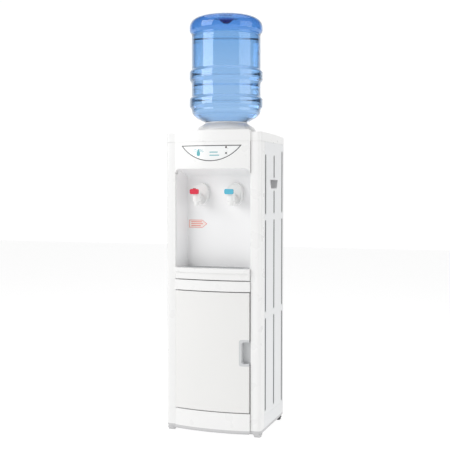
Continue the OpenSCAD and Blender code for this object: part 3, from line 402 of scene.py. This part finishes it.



def buildFinishes():
    f = finishes
    panelFace = max(abs(v.co.x) for v in nodes["right_side_panel"].data.vertices)
    grooveX = panelFace - grooveDepth * mm
    return {
        "white_moulding": mouldedPlastic("frameWhite", f["frameWhite"], 0.28, coat=0.15),
        "door_white": mouldedPlastic("doorWhite", f["doorWhite"], 0.34),
        "side_white": sheetWithPaintedGrooveShade("sideWhite", f["sideWhite"], f["paintedGrooveShade"], grooveX),
        "liner_white": mouldedPlastic("linerWhite", f["linerWhite"], 0.36),
        "base_grey": mouldedPlastic("baseGrey", f["baseGrey"], 0.42),
        "pull_grey": mouldedPlastic("pullGrey", f["pullGrey"], 0.42),
        "handle_grey": mouldedPlastic("handleGrey", f["handleGrey"], 0.5, 0.0001, 900),
        "grille_grey": mouldedPlastic("grilleGrey", f["grilleGrey"], 0.4),
        "black_plastic": mouldedPlastic("blackPlastic", f["black"], 0.45, 0.0001, 900),
        "window_grey": mouldedPlastic("windowRim", f["windowRim"], 0.3),
        "window_white": mouldedPlastic("windowWhite", f["windowWhite"], 0.12, 0.00001, coat=0.6),
        "red_light": mouldedPlastic("redLens", f["redLens"], 0.2, 0.00001, coat=1.0),
        "green_light": mouldedPlastic("greenLens", f["greenLens"], 0.2, 0.00001, coat=1.0),
        "hot_red": mouldedPlastic("hotRed", f["hotRed"], 0.22, 0.00001, coat=0.4),
        "catch_red": mouldedPlastic("catchRed", f["catchRed"], 0.25, 0.00001, coat=0.4),
        "cold_blue": mouldedPlastic("coldBlue", f["coldBlue"], 0.22, 0.00001, coat=0.4),
        "silicone_grey": softRubber("silicone", f["silicone"]),
        "galvanised_sheet": coatedSheet("rearSheet", f["sheetGrey"], 0.45),
        "plated_steel": brushedMetal("platedSteel", f["plated"], 0.28),
        "cap_blue": mouldedPlastic("capBlue", f["capBlue"], 0.4),
        "stainless": brushedMetal("drawnSteel", f["stainless"], 0.26),
        "foam_cream": roughFoam("tankFoam", f["foam"]),
        "mica_band": brushedMetal("micaBand", f["mica"], 0.5),
        "tube_clear": softRubber("waterTube", f["tube"]),
        "ceramic_white": mouldedPlastic("ceramicPlate", f["ceramic"], 0.6),
        "sink_aluminium": brushedMetal("sinkAluminium", f["aluminium"], 0.35),
        "board_green": mouldedPlastic("boardGreen", f["board"], 0.3, 0.0001, 300),
        "switch_red": mouldedPlastic("rockerRed", f["rockerRed"], 0.2, 0.00001, coat=0.5),
        "switch_green": mouldedPlastic("rockerGreen", f["rockerGreen"], 0.2, 0.00001, coat=0.5),
        "bottle_blue": blownBottle("bottleBlue", f["bottleTint"], 165.0, 1.5),
        "water": clearTint("bottledWater", f["waterTint"], 2.0, 1.33, 0.0),
        "print_teal": mouldedPlastic("printTeal", f["printTeal"], 0.4, 0.00001),
        "print_red": mouldedPlastic("printRed", f["printRed"], 0.45, 0.00001),
        "label_cream": mouldedPlastic("labelCream", f["labelCream"], 0.5, 0.00001),
    }


# CAD parts: finish and softened edges
edgeWidths = {
    "top_cover": 2.2, "left_front_pillar": 1.0, "right_front_pillar": 1.0, "upper_fascia": 1.2,
    "drip_tray": 2.6, "mid_rail": 1.0, "kick_panel": 1.2, "door_shell": 1.2, "door_pull": 1.4,
    "base_tray": 1.2, "hot_escutcheon": 1.6, "cold_escutcheon": 1.6, "hot_tap_body": 0.9,
    "cold_tap_body": 0.9, "hot_lever": 1.5, "cold_lever": 1.5, "bottle_seat": 1.2,
    "front_feet": 1.2, "rear_feet": 1.2, "left_side_panel": 0.35, "right_side_panel": 0.35,
    "left_handle_cup": 0.5, "right_handle_cup": 0.5, "drip_grille": 0.5, "alcove_liner": 0.8,
}
softening = {
    "plainEdge": 0.3,
    "sharpTurnDeg": 34,
    "weldGap": 0.02,
}


def finishCadPart(name, obj, finish):
    obj.data.materials.clear()
    obj.data.materials.append(finish)
    for poly in obj.data.polygons:
        poly.use_smooth = True
    weld = obj.modifiers.new("weld", "WELD")
    weld.merge_threshold = softening["weldGap"] * mm
    edge = obj.modifiers.new("softEdge", "BEVEL")
    edge.width = edgeWidths.get(name, softening["plainEdge"]) * mm
    edge.segments = 3
    edge.limit_method = "ANGLE"
    edge.angle_limit = math.radians(softening["sharpTurnDeg"])
    edge.use_clamp_overlap = True
    normals = obj.modifiers.new("flatNormals", "WEIGHTED_NORMAL")
    normals.keep_sharp = False
    normals.weight = 60


# mesh helpers
def addPiece(name, bm, finish, body, smooth=True):
    mesh = bpy.data.meshes.new(name)
    bmesh.ops.recalc_face_normals(bm, faces=bm.faces)
    bm.to_mesh(mesh)
    bm.free()
    obj = bpy.data.objects.new(name, mesh)
    scene.collection.objects.link(obj)
    mesh.materials.append(finish)
    for poly in mesh.polygons:
        poly.use_smooth = smooth
    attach(obj, body)
    return obj


# points are (r, z, fillet): a line whose corners are rounded by arcs
def filletPath(points, steps=5):
    path = []
    last = len(points) - 1
    for i, (r, z, fillet) in enumerate(points):
        here = Vector((r, z))
        if fillet <= 0 or i in (0, last):
            path.append(here)
            continue
        back = Vector(points[i - 1][:2]) - here
        ahead = Vector(points[i + 1][:2]) - here
        reach = min(fillet, back.length * 0.49, ahead.length * 0.49)
        start, end = here + back.normalized() * reach, here + ahead.normalized() * reach
        for k in range(steps + 1):
            t = k / steps
            path.append(start * (1 - t) ** 2 + here * 2 * t * (1 - t) + end * t * t)
    return path


# revolves a line of (r, z) about an upright axis
def lathe(path, centre, turns=128):
    bm = bmesh.new()
    rings = []
    for r, z in path:
        if r < 1e-6:
            rings.append([bm.verts.new((centre.x, centre.y, z))])
            continue
        rings.append([bm.verts.new((centre.x + r * math.cos(a), centre.y + r * math.sin(a), z))
                      for a in (2 * math.pi * k / turns for k in range(turns))])
    for low, high in zip(rings, rings[1:]):
        if len(low) == 1 and len(high) == 1:
            continue
        for k in range(turns):
            n = (k + 1) % turns
            if len(low) == 1:
                bm.faces.new((low[0], high[k], high[n]))
            elif len(high) == 1:
                bm.faces.new((low[k], low[n], high[0]))
            else:
                bm.faces.new((low[k], low[n], high[n], high[k]))
    return bm


# bottle and its water
bottle = {
    "wall": 2.0,
    "hoopRadius": 123.5,
    "waistRadius": 116.5,
    "waterTop": 289.0,   # above the seat: an air space is left under the dome
}


def bottleOutline(i):
    hoop, waist = bottle["hoopRadius"] - i, bottle["waistRadius"] - i
    return [
        (0, 333 - i, 0), (7 - i * 0.5, 333 - i, 3), (22 - i, 344 - i, 8), (34 - i, 354 - i, 4),
        (44 - i * 0.5, 356 - i, 6), (80 - i * 0.6, 354.5 - i, 20), (104 - i * 0.8, 348.5 - i * 0.9, 14),
        (118 - i, 338 - i * 0.6, 12), (hoop, 324, 10), (hoop, 305.5 + i / 2, 5),
        (waist, 296.5 + i / 2, 4), (waist, 292, 1.5), (waist - 2, 290, 1.5), (waist, 288, 1.5),
        (waist, 177 - i / 2, 4), (hoop, 170 - i / 2, 4), (hoop, 142 + i / 2, 4), (waist, 134 + i / 2, 4),
        (waist, 85 - i / 2, 4), (hoop, 79 - i / 2, 4), (hoop, 52 + i / 2, 4), (waist, 44 + i / 2, 3),
        (waist, 35, 7), (waist - 6 - i * 0.2, 24 + i * 0.4, 8), (98 - i, 14 + i * 0.6, 9),
        (79 - i, 4.2 + i * 0.8, 5), (65 - i, -1.5 + i * 0.8, 5), (58 - i, -9 + i * 0.6, 4),
        (45 - i, -22 + i * 0.5, 6), (30 - i, -31 + i * 0.5, 3), (27.5 - i, -38 + i * 0.4, 3),
        (27.5 - i, -74.5, 0),
    ]


def buildBottle(made):
    low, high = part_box("water_bottle")
    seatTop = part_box("bottle_seat")[1].z
    centre = (low + high) / 2
    outer = [(p.x * mm, seatTop + p.y * mm) for p in filletPath(bottleOutline(0))]
    inner = [(p.x * mm, seatTop + p.y * mm) for p in filletPath(bottleOutline(bottle["wall"]))]
    bm = lathe(outer + inner[::-1], centre)
    bmesh.ops.remove_doubles(bm, verts=bm.verts, dist=1e-6)
    shell = addPiece("bottleShell", bm, made["bottle_blue"], "bottle")
    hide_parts("water_bottle")

    skin = filletPath(bottleOutline(bottle["wall"] + 0.15))
    level = bottle["waterTop"]
    wet = [p for p in skin if p.y < level]
    path = [(0, level), (wet[0].x - 3, level), (wet[0].x - 0.6, level + 0.5)] + [(p.x, p.y) for p in wet]
    path.append((0, wet[-1].y))
    water = lathe([(r * mm, seatTop + z * mm) for r, z in path], centre)
    addPiece("bottledWater", water, made["water"], "bottle")


# printed marks
face = {
    "bowMm": 14.0,
    "halfMm": 130.0,
    "windowSinkMm": 0.6,
}


# front of the bowed face at x, both in metres
def faceY(x):
    rise, half = face["bowMm"] * mm, face["halfMm"] * mm
    radius = (half * half + rise * rise) / (2 * rise)
    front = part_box("upper_fascia")[0].y
    return front + radius - math.sqrt(radius * radius - x * x)


# a thin printed patch: outline of (x, z) laid on a surface that faces the front
def flatPatch(bm, outline, surfaceY, thick=0.12 * mm):
    front = [bm.verts.new((x, surfaceY(x) - thick, z)) for x, z in outline]
    back = [bm.verts.new((x, surfaceY(x) + thick, z)) for x, z in outline]
    bm.faces.new(front)
    bm.faces.new(back[::-1])
    for k in range(len(outline)):
        n = (k + 1) % len(outline)
        bm.faces.new((front[k], back[k], back[n], front[n]))


# a printed stroke of even width along a line of (x, z), laid on the bowed surface
def ribbon(bm, points, width, surfaceY, thick=0.12 * mm):
    pairs = []
    for k, p in enumerate(points):
        a, b = Vector(points[max(k - 1, 0)]), Vector(points[min(k + 1, len(points) - 1)])
        side = (b - a).normalized().orthogonal() * width / 2
        pairs.append([Vector(p) + side, Vector(p) - side])
    fronts = [[bm.verts.new((q.x, surfaceY(q.x) - thick, q.y)) for q in pair] for pair in pairs]
    backs = [[bm.verts.new((q.x, surfaceY(q.x) + thick, q.y)) for q in pair] for pair in pairs]
    for k in range(len(points) - 1):
        bm.faces.new((fronts[k][0], fronts[k][1], fronts[k + 1][1], fronts[k + 1][0]))
        bm.faces.new((backs[k][1], backs[k][0], backs[k + 1][0], backs[k + 1][1]))
        bm.faces.new((fronts[k][0], fronts[k + 1][0], backs[k + 1][0], backs[k][0]))
        bm.faces.new((fronts[k + 1][1], fronts[k][1], backs[k][1], backs[k + 1][1]))
    bm.faces.new((fronts[0][1], fronts[0][0], backs[0][0], backs[0][1]))
    bm.faces.new((fronts[-1][0], fronts[-1][1], backs[-1][1], backs[-1][0]))


windowMarks = {
    "dropAt": (-42.0, -20.0),    # x, and z below the window's top
    "dropHigh": 25.0,
    "waveWide": (30.0, 36.0),
    "waveRise": (8.0, 3.0),      # above the drop's middle
    "waveSwing": 1.8,
    "waveLine": 1.3,
    "barsAt": (-3.0, -20.0),
    "barWide": (28.0, 33.0),
    "barHigh": 3.0,
    "barPitch": 10.0,
}


def buildWindowMarks(made):
    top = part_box("indicator_window")[1].z
    w = windowMarks

    def sunk(x):
        return faceY(x) + face["windowSinkMm"] * mm

    cx, cz = w["dropAt"][0] * mm, top + w["dropAt"][1] * mm
    tall = w["dropHigh"] * mm
    bm = bmesh.new()
    drop = []
    for k in range(28):
        a = 2 * math.pi * k / 28
        pinch = math.sin(a / 2) ** 1.5
        drop.append((cx + tall * 0.36 * math.sin(a) * pinch, cz + tall * 0.5 * math.cos(a)))
    flatPatch(bm, drop, sunk)
    for wide, rise in zip(w["waveWide"], w["waveRise"]):
        wave = [(cx + (k / 20 - 0.5) * wide * mm,
                 cz + (rise + w["waveSwing"] * math.sin(k * math.pi / 5)) * mm) for k in range(21)]
        ribbon(bm, wave, w["waveLine"] * mm, sunk, 0.16 * mm)
    addPiece("windowDrop", bm, made["print_teal"], "cabinet", smooth=False)

    bm = bmesh.new()
    for row, wide in enumerate(w["barWide"]):
        x0, z0 = w["barsAt"][0] * mm, top + (w["barsAt"][1] - row * w["barPitch"]) * mm
        ribbon(bm, [(x0 + wide * mm * k / 12, z0) for k in range(13)], w["barHigh"] * mm, sunk)
    addPiece("windowBars", bm, made["print_teal"], "cabinet", smooth=False)


arrowLabel = {
    "leftMm": -106.0, "rightMm": -41.0, "midZMm": 691.0, "highMm": 26.0,
    "headMm": 17.0, "borderMm": 1.6,
    "stripeWide": (38, 42, 34), "stripeHigh": 2.2, "stripePitch": 6.5, "stripeIn": 8,
    "liftMm": 0.12,    # each printed layer stands this far off the one under it
}


def arrowOutline(inset):
    a = arrowLabel
    x0, x1 = (a["leftMm"] + inset) * mm, (a["rightMm"] - inset * 1.6) * mm
    neck = (a["rightMm"] - a["headMm"]) * mm
    half, z = (a["highMm"] / 2 - inset) * mm, a["midZMm"] * mm
    return [(x0, z - half), (neck, z - half), (x1, z), (neck, z + half), (x0, z + half)]


def buildArrowLabel(made):
    a = arrowLabel
    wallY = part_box("hot_escutcheon")[1].y - 0.1 * mm

    def layer(name, outlines, finish, count):
        bm = bmesh.new()
        for outline in outlines:
            flatPatch(bm, outline, lambda x: wallY - count * a["liftMm"] * mm)
        addPiece(name, bm, made[finish], "cabinet", smooth=False)

    layer("labelBorder", [arrowOutline(0)], "print_red", 0)
    layer("labelFace", [arrowOutline(a["borderMm"])], "label_cream", 1)
    stripes = []
    for row, wide in enumerate(a["stripeWide"]):
        z = (a["midZMm"] + (1 - row) * a["stripePitch"]) * mm
        x0, half = (a["leftMm"] + a["stripeIn"]) * mm, a["stripeHigh"] / 2 * mm
        x1 = x0 + wide * mm
        stripes.append([(x0, z - half), (x1, z - half), (x1, z + half), (x0, z + half)])
    layer("labelStripes", stripes, "print_red", 2)


# build
buildStudio()
made = buildFinishes()
print("finishes ready:", len(made))
slotOf = {p["node"]: p["material_slot"] for p in frame["record"]["subparts"]}
for name, obj in nodes.items():
    finishCadPart(name, obj, made[slotOf[name]])
print("CAD parts finished")
buildBottle(made)
print("bottle built")
buildWindowMarks(made)
buildArrowLabel(made)
print("marks printed")
